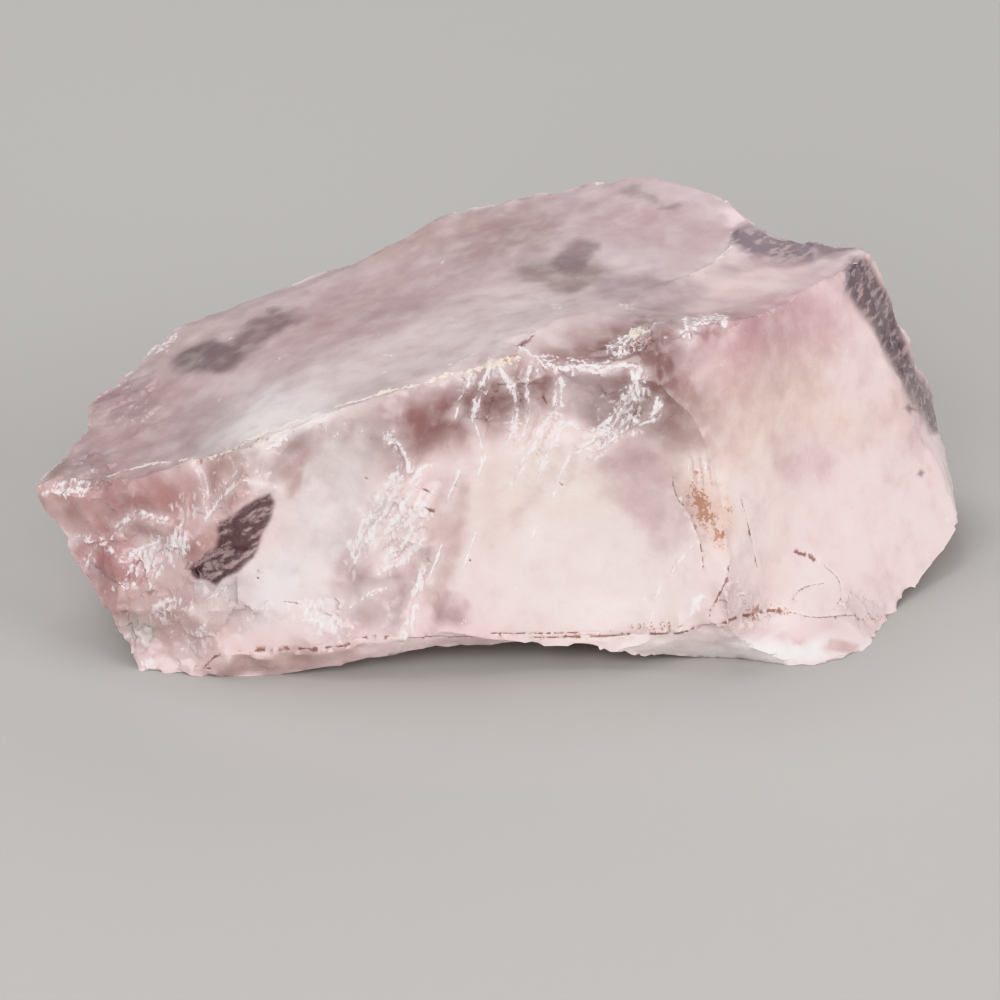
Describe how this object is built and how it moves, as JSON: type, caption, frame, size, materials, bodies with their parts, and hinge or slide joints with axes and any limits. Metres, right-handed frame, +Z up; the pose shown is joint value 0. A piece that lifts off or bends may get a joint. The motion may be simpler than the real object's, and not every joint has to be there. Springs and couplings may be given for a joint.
{
  "type": "rose quartz chunk",
  "caption": "Rough broken chunk of translucent pale pink rose quartz with curved fracture faces, ledges and chipped ridges, lying on its flattest side.",
  "frame": {"origin": "bottom centre of the bounding box, on the surface the chunk rests on", "axes": "+X along the chunk to its blunt end, +Y away from the broad front face, +Z up"},
  "size_m": [0.0702, 0.0374, 0.0269],
  "materials": {
    "rose_quartz": "translucent milky pink massive quartz, glassy on fresh fractures, frosted white on ledges, iron-stained along cracks"
  },
  "bodies": {
    "root": {"rose_quartz_chunk": "rose_quartz"}
  },
  "joints": []
}
